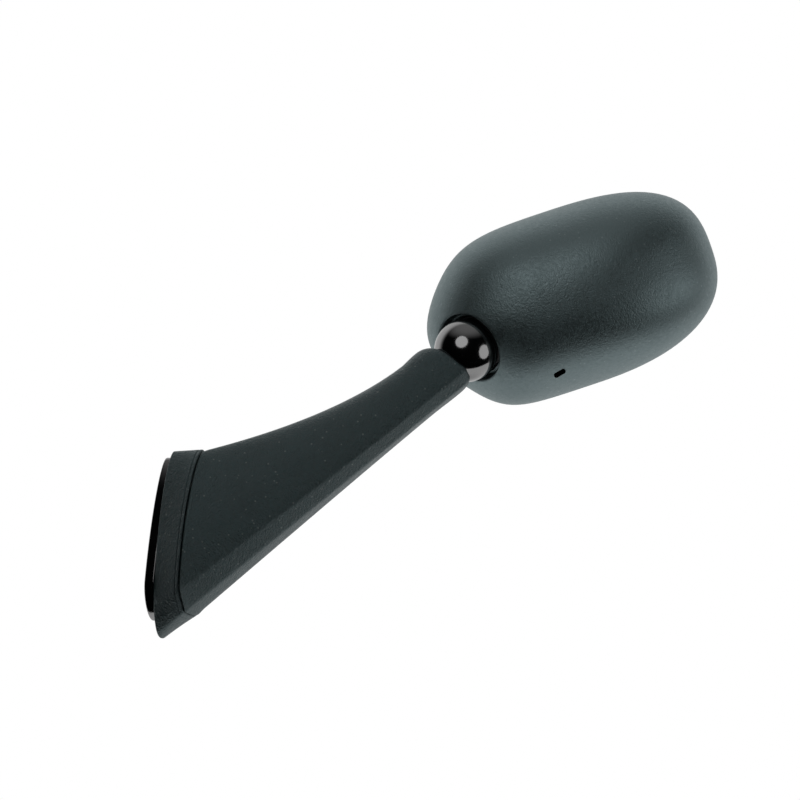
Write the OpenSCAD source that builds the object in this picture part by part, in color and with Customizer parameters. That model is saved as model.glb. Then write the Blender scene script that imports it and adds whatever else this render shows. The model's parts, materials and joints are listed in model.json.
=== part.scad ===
// Fairing mirror: a swept arm that folds on a cast base, and a rounded head that turns on a ball joint.
// X points out of the mounting face, Z is up, and the glass faces away along +Y.

/* [Mounting base] */
// Thickness of the pad that seats on the fairing
pad_t = 6; // [5:0.5:7]
// Height of the base casting, from its fitting edge to the fold seam
base_h = 18; // [17:0.5:21]
// Wall of the base casting
base_wall = 3; // [2.4:0.2:3.6]
// Floor of the base casting under the arm
base_floor = 5; // [4:0.5:6]
// Distance between the two mounting screws
screw_pitch = 38; // [36:1:42]
// Hole radius of the threaded sleeves
sleeve_bore_r = 2.5; // [2:0.1:2.7]
// Outer radius of the threaded sleeves
sleeve_r = 3.9; // [3.5:0.1:4.2]
// Length of the threaded sleeves
sleeve_l = 17; // [14:0.5:18]

/* [Fold pivot] */
// Radius of the pivot bolt
pivot_r = 4; // [3:0.1:4.6]
// Outer radius of the pivot bush
bush_r = 6; // [5.4:0.1:6.6]
// Width of the open seam between the base and the arm
seam_gap = 0.8; // [0.5:0.1:1.2]
// Radius of the friction washer in the seam
washer_r = 13; // [11:0.5:14]
// Wire thickness of the pivot spring
pivot_wire = 2.4; // [2:0.1:2.8]

/* [Arm] */
// Ball centre, out from the mounting face
ball_x = 141.5; // [130:0.5:155]
// Ball centre, swept back from the mounting screws
ball_y = 112; // [105:0.5:119]
// Ball centre, above the middle of the mounting screws
ball_z = 111.5; // [104:0.5:120]
// Rise of the neck's axis above level
neck_rise = 36; // [33:0.5:39]
// Sweep of the neck's axis, back from the mounting axis
neck_sweep = 43.5; // [40:0.5:46]
// Half thickness of the arm at its foot
foot_half = 17; // [16.4:0.2:18]
// Half thickness of the arm at its neck
neck_half = 13.6; // [13:0.2:15]
// Wall of the arm
arm_wall = 3; // [2.4:0.2:3.6]
// Floor of the arm over the pivot
arm_floor = 4; // [3.6:0.2:4.4]
// Thickness of the ribs inside the arm and the base
rib_t = 2; // [1.6:0.2:2.6]

/* [Ball joint] */
// Radius of the ball
ball_r = 18.5; // [17:0.5:20]
// Radius of the stud through the ball
stud_r = 3; // [2.6:0.1:3.4]
// Rise of the stud's axis above level
stud_rise = 28; // [26:1:32]
// Sweep of the stud's axis, back from the mounting axis
stud_sweep = 62; // [58:1:64]
// Thickness of the liner between ball and socket
liner_t = 1.2; // [1:0.1:1.4]
// Radius of the pocket round the ball at the head's surface
pocket_r = 21.2; // [20.6:0.1:22.4]
// Wall of the socket dome in the head
dome_t = 3; // [2.6:0.1:3.2]
// Thickness of the friction ring behind the dome
ring_t = 0.8; // [0.7:0.1:1]
// Thickness of the pressure cup behind the ring
cup_t = 2.2; // [1.8:0.1:2.4]
// Compressed length of the ball spring
ball_spring_l = 5; // [4.8:0.1:5.6]
// Wire thickness of the ball spring
ball_wire = 1.4; // [1.2:0.1:1.5]

/* [Head] */
// Half length of the head
head_half_l = 89.5; // [85:0.5:94]
// Half height of the head
head_half_h = 52.5; // [49:0.5:56]
// Distance from the ball centre to the crown of the shell
crown_h = 21; // [19:0.5:24]
// Distance from the ball centre to the glass rim
rim_h = 40; // [38:0.5:44]
// Wall of the head shell
shell_t = 2.8; // [2.2:0.2:3.4]
// Angle of the head's long side above level
head_lean = 18.5; // [15:0.5:23]
// Heading of the head about the upright axis
head_turn = 25; // [20:1:30]
// Thickness of the mirror glass
glass_t = 2.2; // [1.8:0.1:3]
// Curve radius of the convex glass
glass_curve_r = 1200; // [900:50:1600]
// Thickness of the glass carrier plate
carrier_t = 2; // [1.6:0.2:2.6]

/* [Hidden] */
$fn = 64;

fit = 0.05; // clearance of a close fit
run = 0.2; // clearance of spherical faces that slide
part_gap = 0.25; // clearance along a parting line
far = 120; // reach of a cutting shape past everything
skin_steps = 32; // points round one section of the arm or base
ring_steps = 48; // points round the head

shell_black = "#262c2d";
arm_black = "#23292a";
gloss_black = "#060707";
liner_black = "#101112";
steel = "#8d9296";

seam_x = pad_t + base_h;
foot_x = seam_x + seam_gap;
ball_at = [ball_x, ball_y, ball_z];

// Plain vector helpers
function lerp(a, b, t) = a + (b - a) * t;
function unit(v) = v / norm(v);
function bezier(a, b, c, d, t) =
    (1 - t)^3 * a + 3 * (1 - t)^2 * t * b + 3 * (1 - t) * t^2 * c + t^3 * d;
// How far a rounded outline of half width 1 reaches at an angle; n of 2 is a circle, and more is squarer
function squared(f, n) = pow(pow(abs(cos(f)), n) + pow(abs(sin(f)), n), -1 / n);
// The same reach with one side flattened: the flat lies at an angle and a distance, and its ends are blended
function flattened(r, f, turn, distance, blend) =
    pow(pow(r, -blend) + pow(max(0, cos(f - turn)) / distance, blend), -1 / blend);

// A skin over closed loops that all have the same number of points, with flat convex ends
module loft(loops) {
    n = len(loops[0]);
    top = (len(loops) - 1) * n;
    polyhedron(
        points = [for (loop = loops) each loop],
        faces = concat(
            [[for (j = [0 : n - 1]) n - 1 - j]],
            [[for (j = [0 : n - 1]) top + j]],
            [for (i = [0 : len(loops) - 2], j = [0 : n - 1])
                [i * n + j, (i + 1) * n + (j + 1) % n, (i + 1) * n + j]],
            [for (i = [0 : len(loops) - 2], j = [0 : n - 1])
                [i * n + j, i * n + (j + 1) % n, (i + 1) * n + (j + 1) % n]]
        )
    );
}

// A skin over rings that closes in a point at both ends
module closed_rings(start, rings, end) {
    n = len(rings[0]);
    last = (len(rings) - 1) * n + 1;
    tip = len(rings) * n + 1;
    polyhedron(
        points = concat([start], [for (ring = rings) each ring], [end]),
        faces = concat(
            [for (j = [0 : n - 1]) [0, 1 + j, 1 + (j + 1) % n]],
            [for (i = [0 : len(rings) - 2], j = [0 : n - 1])
                [1 + i * n + j, 1 + (i + 1) * n + j, 1 + (i + 1) * n + (j + 1) % n]],
            [for (i = [0 : len(rings) - 2], j = [0 : n - 1])
                [1 + i * n + j, 1 + (i + 1) * n + (j + 1) % n, 1 + i * n + (j + 1) % n]],
            [for (j = [0 : n - 1]) [last + j, tip, last + (j + 1) % n]]
        )
    );
}

// A coil spring of round wire standing on z = 0, with its two end turns closed up
module coil_spring(mid_r, wire, length, turns) {
    sides = 8;
    steps = 16;
    rise = length - wire;
    count = turns * steps;
    function climb(i) =
        let (t = (i - steps / 2) / (count - steps)) wire / 2 + rise * min(1, max(0, t));
    loops = [for (i = [0 : count])
        let (turn = 360 * i / steps)
        [for (k = [0 : sides - 1])
            let (f = 360 * k / sides, r = mid_r + wire / 2 * cos(f))
            [r * cos(turn), r * sin(turn), climb(i) + wire / 2 * sin(f)]]];
    loft(loops);
}

// A section of the arm or base: an egg along the line from its lowest to its highest point,
// with a flat keel along its lower front edge
keel_turn = 212;
keel_reach = 1.05;
keel_blend = 24;
function egg(f, low, high, half, shape) =
    let (
        n = cos(f) >= 0 ? shape[1] : shape[0],
        reach = cos(f) >= 0 ? high : low,
        r = flattened(squared(f, n), f, keel_turn, keel_reach, keel_blend)
    )
    [half * r * sin(f), reach * r * cos(f)];
function section(low, high, rear, half, share, shape, inset, rear_inset = 0) =
    let (
        up = unit(high - low),
        width = norm(high - low),
        back = unit(rear - (rear * up) * up)
    )
    [for (i = [0 : skin_steps - 1])
        let (
            p = egg(360 * i / skin_steps, width * share - inset, width * (1 - share) - inset, half - inset, shape),
            q = p[0] > 0 ? p[0] * (half - inset - rear_inset) / (half - inset) : p[0]
        )
        low + up * (width * share + p[1]) + back * q];
rear = [0, 1, 0];
foot_share = 0.36; // where the foot is thickest, as a share of its height from below
foot_shape = [3.4, 1.8];
seam_low = [0, -8, -37.8];
seam_high = [0, 10, 54];
edge_low = [0, -7, -52.5];
edge_high = [0, 8.5, 54];
pad_low = [0, -7, -42];
pad_high = [0, 10.5, 50];
pad_share = 0.22;
pad_step = 3.6; // how far the pad draws in from the seam
edge_step = 3; // how far the base draws in from its seam to its edge
seam_proud = 0.8; // how far the base stands proud of the arm at the seam
proud_step = [0, 0, seam_proud + 0.3];
function seam_loop(x, inset) =
    section([x, 0, 0] + seam_low - proud_step, [x, 0, 0] + seam_high + proud_step, rear,
        foot_half + seam_proud, foot_share, foot_shape, inset);
function edge_loop(x, inset) =
    section([x, 0, 0] + edge_low, [x, 0, 0] + edge_high, rear, foot_half - edge_step, foot_share,
        [2.3, 1.9], inset);
function pad_loop(x, inset) =
    section([x, 0, 0] + pad_low, [x, 0, 0] + pad_high, rear, foot_half - pad_step, pad_share,
        [1.7, 1.8], inset);
function base_loop(t, inset) =
    let (from = edge_loop(pad_t, inset), to = seam_loop(seam_x, inset))
    [for (i = [0 : skin_steps - 1]) lerp(from[i], to[i], t)];
screw_z = [-screw_pitch / 2, screw_pitch / 2];

module along_x(x) { translate([x, 0, 0]) rotate([0, 90, 0]) children(); }

spring_room_r = 11.2;
boss_wall = 2;
sleeve_boss_r = sleeve_r + boss_wall;
spring_boss_r = spring_room_r + boss_wall;
spigot = 2; // how far the pad's spigot reaches into the base
boss_from = pad_t + 1; // the base's bosses start inside the spigot
flange_r = sleeve_r + 0.4;
flange_l = boss_from - 0.3;
edge_round = 0.6;
module base_casting() {
    color(arm_black) difference() {
        union() {
            difference() {
                loft([base_loop(0, edge_round), base_loop(edge_round / base_h, 0),
                    base_loop(1 - edge_round / base_h, 0), base_loop(1, edge_round)]);
                loft([base_loop(-0.1, base_wall), base_loop(1 - base_floor / base_h, base_wall)]);
            }
            intersection() {
                loft([base_loop(0.02, base_wall / 2), base_loop(0.95, base_wall / 2)]);
                union() {
                    for (z = screw_z)
                        translate([0, 0, z]) along_x(boss_from) cylinder(r = sleeve_boss_r, h = base_h);
                    along_x(boss_from) cylinder(r = spring_boss_r, h = base_h);
                    translate([pad_t + 2 * spigot, -rib_t / 2, -far / 2]) cube([base_h, rib_t, far]);
                }
            }
        }
        along_x(0) cylinder(r = spring_room_r, h = seam_x - base_floor);
        along_x(0) cylinder(r = bush_r + fit, h = far);
        for (z = screw_z)
            translate([0, 0, z]) {
                along_x(0) cylinder(r = sleeve_r + fit, h = sleeve_l);
                along_x(0) cylinder(r = flange_r + part_gap, h = flange_l + part_gap);
            }
    }
}

module fairing_pad() {
    spigot_inset = base_wall + 1.8;
    color(gloss_black) difference() {
        union() {
            loft([pad_loop(0, 0.6), pad_loop(0.3, 0.15), pad_loop(0.8, 0), pad_loop(pad_t, 0)]);
            loft([edge_loop(pad_t - 1, spigot_inset), edge_loop(pad_t + spigot, spigot_inset)]);
        }
        along_x(-1) cylinder(r = nut_r + 2, h = far);
        along_x(pad_t) cylinder(r = spring_boss_r + part_gap, h = far);
        for (z = screw_z)
            translate([0, 0, z]) {
                along_x(-1) cylinder(r = flange_r + part_gap, h = far);
                along_x(pad_t) cylinder(r = sleeve_boss_r + part_gap, h = far);
            }
    }
}

module mounting_sleeves() {
    color(steel) for (z = screw_z)
        translate([0, 0, z]) difference() {
            union() {
                along_x(0) cylinder(r = sleeve_r, h = sleeve_l);
                along_x(0) cylinder(r = flange_r, h = flange_l);
            }
            along_x(-1) cylinder(r = sleeve_bore_r, h = far);
        }
}

nut_r = pivot_r * 1.82; // corner radius of the pivot nut
bush_flange_t = 1.2;
bush_flange_r = bush_r + 3;
module pivot_bush() {
    color("#d9d6c8") difference() {
        union() {
            along_x(seam_x - base_floor) cylinder(r = bush_r, h = base_floor);
            along_x(seam_x - base_floor - bush_flange_t) cylinder(r = bush_flange_r, h = bush_flange_t);
        }
        along_x(0) cylinder(r = pivot_r + fit, h = far);
    }
}

module friction_washer() {
    color("#b9a98a") difference() {
        along_x(seam_x) cylinder(r = washer_r, h = seam_gap);
        along_x(0) cylinder(r = bush_r, h = far);
    }
}

nut_t = 6;
pivot_washer_t = 1.6;
pivot_end_x = 1.2; // the bolt's end stays inside the pad
thread_end = 0.8; // how far the bolt stands out of its nut
bolt_head_r = 6.6;
bolt_head_t = 3.6;
module pivot_bolt() {
    color(steel) union() {
        along_x(pivot_end_x) cylinder(r = pivot_r, h = foot_x + arm_floor - pivot_end_x + 1);
        along_x(foot_x + arm_floor) cylinder(r = bolt_head_r, h = bolt_head_t - 1);
        along_x(foot_x + arm_floor + bolt_head_t - 1) cylinder(r1 = bolt_head_r, r2 = bolt_head_r - 2, h = 1);
    }
}

module pivot_nut() {
    color(steel) difference() {
        along_x(pivot_end_x + thread_end) cylinder(r = nut_r, h = nut_t, $fn = 6);
        along_x(0) cylinder(r = pivot_r + fit, h = far);
    }
}

pivot_washer_x = pivot_end_x + thread_end + nut_t;
module pivot_washer() {
    color(steel) difference() {
        along_x(pivot_washer_x) cylinder(r = spring_room_r - 1, h = pivot_washer_t);
        along_x(0) cylinder(r = pivot_r + fit, h = far);
    }
}

module pivot_spring() {
    from_x = pivot_washer_x + pivot_washer_t;
    to_x = seam_x - base_floor - bush_flange_t;
    color("#55585c") along_x(from_x)
        coil_spring(spring_room_r - 2 - pivot_wire / 2, pivot_wire, to_x - from_x, 3);
}

// The neck's own directions: along its axis, up across it, and to the rear
neck_roll = 22; // turns the neck's section so that its underside shows from the front
neck_dir = [cos(neck_rise) * cos(neck_sweep), cos(neck_rise) * sin(neck_sweep), sin(neck_rise)];
neck_down = [sin(neck_rise) * cos(neck_sweep), sin(neck_rise) * sin(neck_sweep), -cos(neck_rise)];
neck_side = [-sin(neck_sweep), cos(neck_sweep), 0];
neck_up = -cos(neck_roll) * neck_down + sin(neck_roll) * neck_side;
neck_rear = cos(neck_roll) * neck_side + sin(neck_roll) * neck_down;
module on_neck() { translate(ball_at) rotate([0, 90 - neck_rise, neck_sweep]) children(); }
module on_stud() { translate(ball_at) rotate([0, 90 - stud_rise, stud_sweep]) children(); }
stud_embed = 26; // reach of the stud into the neck, from the ball centre

// Stations of the straight neck: how far its upper and lower edges lie below the ball centre,
// its upper and lower half width, and its thickness as a share
neck_stations = [[36, 36, 15, 17.2, 1], [31, 30.5, 15.6, 17.2, 1], [27, 25.5, 16, 17.2, 1],
    [22.5, 20, 15.9, 17.1, 1], [18.8, 15, 14.6, 16.8, 1], [16.4, 11.4, 12.5, 15.9, 1],
    [15.6, 10, 10.5, 14.8, 0.95]];
neck_waist = neck_stations[0][0];
foot_low = [foot_x, 0, 0] + seam_low;
foot_high = [foot_x, 0, 0] + seam_high;
waist_at = ball_at - neck_waist * neck_dir;
waist_low = waist_at - neck_stations[0][3] * neck_up;
waist_high = waist_at + neck_stations[0][2] * neck_up;
upper_bend = [cos(13.5) * cos(42), cos(13.5) * sin(42), sin(13.5)];
function lower_edge(t) = lerp(foot_low, waist_low, t);
function upper_edge(t) =
    let (span = norm(waist_high - foot_high))
    bezier(foot_high, foot_high + upper_bend * span * 0.34, waist_high - neck_dir * span * 0.3, waist_high, t);
function blade_rear(t) = lerp(rear, neck_rear, t);
function blade_half(t) = lerp(foot_half, neck_half, t);
function blade_share(t) = lerp(foot_share, 0.5, t);
function blade_loop(t, inset, rear_inset = 0) =
    section(lower_edge(t), upper_edge(t), blade_rear(t), blade_half(t), blade_share(t),
        lerp(foot_shape, neck_shape, t), inset, rear_inset);
function neck_loop(s, inset) =
    section(ball_at - s[1] * neck_dir - s[3] * neck_up, ball_at - s[0] * neck_dir + s[2] * neck_up,
        neck_rear, neck_half * s[4], 0.5, neck_shape, inset);
neck_shape = [3.2, 2.3];
blade_steps = 9;

module arm_skin() {
    loft(concat(
        [for (i = [0 : blade_steps]) blade_loop(i / (blade_steps + 1), 0)],
        [for (s = neck_stations) neck_loop(s, 0)]));
}

// The hollow of the arm; its first section lies over the floor
hollow_from = 0.065;
hollow_to = 0.93;
module arm_hollow(inset, rear_inset = 0, from = hollow_from, to = hollow_to) {
    loft([for (i = [0 : blade_steps]) blade_loop(lerp(from, to, i / blade_steps), inset, rear_inset)]);
}

// The space of the rear cover: the part of each section behind a flat parting line
cover_from = 0.12;
cover_to = 0.88;
part_angle = 28;
module cover_space(gap) {
    function flank(t, f) =
        let (
            low = lower_edge(t), high = upper_edge(t), up = unit(high - low), width = norm(high - low),
            back = unit(blade_rear(t) - (blade_rear(t) * up) * up),
            share = blade_share(t),
            half = blade_half(t),
            reach = cos(f) >= 0 ? width * (1 - share) : width * share
        )
        low + up * (width * share + (reach + 8 - gap) * cos(f)) + back * (half * sin(part_angle) + gap
            + (half + 6) * max(0, sin(f)));
    loft([for (i = [0 : 6])
        let (t = lerp(cover_from + gap / 200, cover_to - gap / 200, i / 6))
        [for (f = [0 : 20 : 180]) flank(t, f)]]);
}

cover_screw_t = [0.22, 0.52, 0.82];
cover_head_r = 3.1;
cover_head_t = 1.4;
cover_head_sunk = 1.6; // how deep the head's seat lies under the cover's face
cover_thread_r = 1.25;
arm_rib_t = [0.37, 0.67];
// Where a cover screw stands on the rear face, and the way it points
function cover_screw_at(t) = lerp(lower_edge(t), upper_edge(t), blade_share(t));
function cover_screw_dir(t) =
    let (up = unit(upper_edge(t) - lower_edge(t)))
    unit(blade_rear(t) - (blade_rear(t) * up) * up);
module on_cover_screw(t) {
    d = cover_screw_dir(t);
    translate(cover_screw_at(t)) rotate([0, acos(d[2]), atan2(d[1], d[0])]) children();
}

// Bosses for the cover screws and ribs across the hollow, before they are trimmed
module arm_stiffening() {
    boss_r = 4.2;
    for (t = cover_screw_t)
        on_cover_screw(t) cylinder(r = boss_r, h = far, center = true);
    for (t = arm_rib_t)
        on_cover_screw(t) cube([far, rib_t, far], center = true);
}

module arm_body() {
    color(arm_black) difference() {
        union() {
            difference() {
                arm_skin();
                arm_hollow(arm_wall);
                cover_space(0);
            }
            difference() {
                intersection() {
                    arm_hollow(arm_wall / 2, 0, hollow_from - 0.02, hollow_to + 0.02);
                    arm_stiffening();
                }
                cover_space(0);
            }
            intersection() {
                arm_hollow(arm_wall + part_gap);
                arm_stiffening();
            }
        }
        for (t = cover_screw_t)
            on_cover_screw(t) translate([0, 0, -8]) cylinder(r = cover_thread_r + fit, h = far);
        along_x(0) cylinder(r = pivot_r + fit, h = foot_x + arm_floor + 1);
        along_x(foot_x + arm_floor) cylinder(r = bolt_head_r + 0.5, h = bolt_head_t + 0.4);
        on_stud() translate([0, 0, -stud_embed - fit]) cylinder(r = stud_r + fit, h = stud_embed);
        on_neck() sphere(r = ball_r + 2 * fit);
    }
}

module arm_rear_cover() {
    color(arm_black) difference() {
        intersection() {
            arm_skin();
            cover_space(part_gap);
        }
        arm_hollow(arm_wall);
        for (t = cover_screw_t)
            on_cover_screw(t) {
                cylinder(r = cover_thread_r + 0.6, h = far);
                translate([0, 0, blade_half(t) - cover_head_sunk]) cylinder(r = cover_head_r + 0.3, h = far);
            }
    }
}

module cover_screws() {
    color(steel) for (t = cover_screw_t)
        on_cover_screw(t) translate([0, 0, blade_half(t) - cover_head_sunk]) {
            cylinder(r = cover_head_r, h = cover_head_t);
            translate([0, 0, -10.5]) cylinder(r = cover_thread_r, h = 10.6);
        }
}

module ball() {
    color(gloss_black) on_stud() difference() {
        sphere(r = ball_r);
        cylinder(r = stud_r + fit, h = 3 * ball_r, center = true);
    }
}

socket_r = ball_r + run + liner_t + run;
dome_r = socket_r + dome_t;
ring_r = dome_r + run;
cup_r = ring_r + ring_t + run;
spring_r = stud_r + 0.5 + ball_wire; // outer radius of the ball spring
spring_at = sqrt((cup_r + cup_t)^2 - (spring_r + 2)^2); // the cup's flat back, on which the spring stands
seat_t = 1;
stud_nut_t = 3.6;
stud_end = spring_at + ball_spring_l + seat_t + stud_nut_t + 0.5;
module ball_stud() {
    color(steel) on_stud() translate([0, 0, -stud_embed]) cylinder(r = stud_r, h = stud_embed + stud_end);
}

module stud_nut() {
    color(steel) on_stud() translate([0, 0, spring_at + ball_spring_l + seat_t]) difference() {
        cylinder(r = stud_r * 1.9, h = stud_nut_t, $fn = 6);
        translate([0, 0, -1]) cylinder(r = stud_r + fit, h = stud_nut_t + 2);
    }
}

module spring_seat() {
    color(steel) on_stud() translate([0, 0, spring_at + ball_spring_l]) difference() {
        cylinder(r = spring_r + 1, h = seat_t);
        translate([0, 0, -1]) cylinder(r = stud_r + fit, h = seat_t + 2);
    }
}

module ball_spring() {
    color("#55585c") on_stud() translate([0, 0, spring_at])
        coil_spring(spring_r - ball_wire / 2, ball_wire, ball_spring_l, 3);
}

// A cone from the ball centre along the stud, used to trim spherical pieces
module stud_cone(angle, reach = 40) { cylinder(r1 = 0, r2 = reach * tan(angle), h = reach); }
dome_hole = 30; // half angle of the dome's hole, which the stud swings in
ring_hole = 22; // half angle of the friction ring's hole

module pressure_cup() {
    color("#3c4043") on_stud() difference() {
        intersection() {
            sphere(r = cup_r + cup_t);
            stud_cone(36);
        }
        sphere(r = cup_r);
        cylinder(r = stud_r + fit, h = far);
        translate([0, 0, spring_at]) cylinder(r = far, h = far);
    }
}

module friction_ring() {
    color(liner_black) on_stud() difference() {
        intersection() {
            sphere(r = ring_r + ring_t);
            stud_cone(38);
        }
        sphere(r = ring_r);
        stud_cone(ring_hole);
    }
}

module socket_liner() {
    color(liner_black) on_stud() difference() {
        intersection() {
            sphere(r = ball_r + run + liner_t);
            stud_cone(55);
        }
        sphere(r = ball_r + run);
        stud_cone(dome_hole - 3);
    }
}

// The head is drawn lying on its glass: X along it, Y across it, Z towards the crown
module on_head() { translate(ball_at) rotate([90, 0, head_turn]) rotate([0, 0, head_lean]) children(); }
head_mid = [head_half_l - 23.1, head_half_h - 42.4]; // middle of the outline, seen from the ball centre
crown_shift = [-6, -2];
end_turn = [153.7, 206.4]; // where the inner end is flattened, above and below
end_blend = 10;
function corner_n(f) = f < 90 ? 2.85 : f < 180 ? 2.9 : f < 270 ? 4.9 : 2.41;
function outline_at(f, inset) =
    let (
        above = flattened(squared(f, corner_n(f)), f, end_turn[0], 1, end_blend),
        r = flattened(above, f, end_turn[1], 1, end_blend)
    )
    [head_mid[0] + (head_half_l - inset) * r * cos(f), head_mid[1] + (head_half_h - inset) * r * sin(f)];
function head_outline(inset, steps = ring_steps) =
    [for (i = [0 : steps - 1]) outline_at(360 * i / steps, inset)];
// One ring of the shell: a is 90 at the rim and 0 at the crown
function head_ring(a, inset, low, high) =
    let (
        shrink = pow(sin(a), 2 / 2.3),
        rise = pow(cos(a), 2 / 2.3),
        shift = crown_shift * (1 - shrink),
        z = low + (high - low) * rise
    )
    [for (p = head_outline(inset))
        [head_mid[0] + shift[0] + (p[0] - head_mid[0]) * shrink,
         head_mid[1] + shift[1] + (p[1] - head_mid[1]) * shrink, z]];
function crown_point(high) = [head_mid[0] + crown_shift[0], head_mid[1] + crown_shift[1], high];
rim_lip = 2.4; // width of the rim round the glass
ledge_w = 3; // ledge that the carrier rests on
pad_edge_t = 0.8; // thickness of the glass pad where the glass curves nearest to the carrier
glass_sit = 0.4; // how far the middle of the glass lies below the rim
function glass_sag(r) = glass_curve_r - sqrt(glass_curve_r^2 - r^2);
glass_z = -rim_h + glass_t + glass_sit; // the glass's inner face at its middle
carrier_z = glass_z + glass_sag(head_half_l) + pad_edge_t + carrier_t; // the carrier's inner face, on the ledge
ring_angles = [80, 70, 60, 50, 40, 31, 23, 15, 8];

module head_skin(inset) {
    closed_rings([head_mid[0], head_mid[1], -rim_h + 1],
        concat([[for (p = head_outline(inset)) [p[0], p[1], -rim_h + 1]]],
            [for (a = ring_angles) head_ring(a, inset, -rim_h, crown_h - inset)]),
        crown_point(crown_h - inset));
}

module shell_walls() {
    inner = rim_lip + ledge_w;
    steps = len(ring_angles);
    closed_rings(crown_point(crown_h - shell_t),
        concat(
            [for (i = [1 : steps])
                head_ring(ring_angles[steps - i], shell_t, -rim_h, crown_h - shell_t)],
            [[for (p = head_outline(inner)) [p[0], p[1], carrier_z + 2]]],
            [[for (p = head_outline(inner)) [p[0], p[1], carrier_z]]],
            [[for (p = head_outline(rim_lip)) [p[0], p[1], carrier_z]]],
            [[for (p = head_outline(rim_lip)) [p[0], p[1], -rim_h]]],
            [[for (p = head_outline(0)) [p[0], p[1], -rim_h]]],
            [for (a = ring_angles) head_ring(a, 0, -rim_h, crown_h)]),
        crown_point(crown_h));
}

carrier_screw_r = 1.25;
carrier_screw_at = [[0.62, 0.55], [-0.3, 0.62], [0.62, -0.5], [-0.05, -0.66]];
module at_carrier_screws() {
    for (s = carrier_screw_at)
        translate([head_mid[0] + s[0] * head_half_l, head_mid[1] + s[1] * head_half_h, 0]) children();
}

pocket_turn = [0, -42, 10]; // the pocket's mouth faces down the shell's slope
pocket_depth = 7; // depth of the wide part of the pocket, to one side of the ball centre
neck_clear_r = 16.5;
neck_swing = 12;
drain_half = 2.2; // half the distance between the drain slot's ends
drain_r = 1.5;
// World directions from inside the head's own
module from_head() { rotate([0, 0, -head_lean]) rotate([-90, 0, 0]) rotate([0, 0, -head_turn]) children(); }
module head_shell() {
    boss_r = 4;
    color(shell_black) on_head() difference() {
        union() {
            shell_walls();
            intersection() {
                head_skin(shell_t / 2);
                union() {
                    sphere(r = dome_r);
                    at_carrier_screws() translate([0, 0, carrier_z]) cylinder(r = boss_r, h = far);
                }
            }
        }
        sphere(r = socket_r);
        intersection() {
            sphere(r = pocket_r);
            rotate(pocket_turn) translate([0, 0, -pocket_depth]) cylinder(r = far, h = far);
        }
        at_carrier_screws() translate([0, 0, carrier_z - 1]) cylinder(r = carrier_screw_r + fit, h = 12);
        translate([46.8, -29.7, -20]) rotate([0, 0, 12]) {
            for (x = [-drain_half, drain_half])
                translate([x, 0, 0]) cylinder(r = drain_r, h = far);
            translate([-drain_half, -drain_r, 0]) cube([2 * drain_half, 2 * drain_r, far]);
        }
        from_head() {
            rotate([0, 90 - stud_rise, stud_sweep]) stud_cone(dome_hole);
            rotate([0, 90 - neck_rise, neck_sweep]) translate([0, 0, -46])
                cylinder(r1 = neck_clear_r + 44 * tan(neck_swing), r2 = neck_clear_r + 2 * tan(neck_swing), h = 42);
        }
    }
}

glass_inset = rim_lip + 0.5;
// A round lens with the glass's two curved faces, wide enough to cut the glass from
module lens_blank(front, back) {
    reach = head_half_l + 20;
    steps = 8;
    translate([head_mid[0], head_mid[1], 0]) rotate_extrude() polygon(concat(
        [for (i = [0 : steps]) let (r = reach * i / steps) [r, front + glass_sag(r)]],
        [for (i = [0 : steps]) let (r = reach * (1 - i / steps)) [r, back + glass_sag(r)]]));
}

module mirror_glass() {
    color("#c9ced1") on_head() intersection() {
        translate([0, 0, -rim_h - 6]) linear_extrude(height = 24) polygon(head_outline(glass_inset));
        lens_blank(glass_z - glass_t, glass_z);
    }
}

module glass_pad() {
    flat_z = carrier_z - carrier_t;
    color("#303030") on_head() difference() {
        translate([0, 0, -rim_h - 6]) linear_extrude(height = flat_z + rim_h + 6)
            polygon(head_outline(glass_inset + 3));
        lens_blank(-rim_h - 40, glass_z);
    }
}

module glass_carrier() {
    color("#2b2d2e") on_head() difference() {
        translate([0, 0, carrier_z - carrier_t]) linear_extrude(height = carrier_t)
            polygon(head_outline(rim_lip + 0.4));
        at_carrier_screws() translate([0, 0, carrier_z - carrier_t]) {
            translate([0, 0, -1]) cylinder(r = carrier_screw_r + 0.3, h = carrier_t + 2);
            cylinder(r1 = carrier_screw_r + 1.5 + fit, r2 = carrier_screw_r + fit, h = 1.5);
        }
    }
}

module carrier_screws() {
    color(steel) on_head() at_carrier_screws() translate([0, 0, carrier_z - carrier_t]) {
        cylinder(r1 = carrier_screw_r + 1.5, r2 = carrier_screw_r, h = 1.5);
        cylinder(r = carrier_screw_r, h = carrier_t + 9);
    }
}

base_casting();
fairing_pad();
mounting_sleeves();
pivot_bush();
friction_washer();
pivot_bolt();
pivot_spring();
pivot_washer();
pivot_nut();
arm_body();
arm_rear_cover();
cover_screws();
ball();
ball_stud();
spring_seat();
stud_nut();
friction_ring();
pressure_cup();
ball_spring();
socket_liner();
head_shell();
glass_carrier();
carrier_screws();
glass_pad();
mirror_glass();
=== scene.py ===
import json
import math

import bpy
import numpy as np
from bpy.props import FloatProperty, FloatVectorProperty, PointerProperty
from bpy.types import Operator, Panel, PropertyGroup
from mathutils import Matrix, Vector


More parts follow.
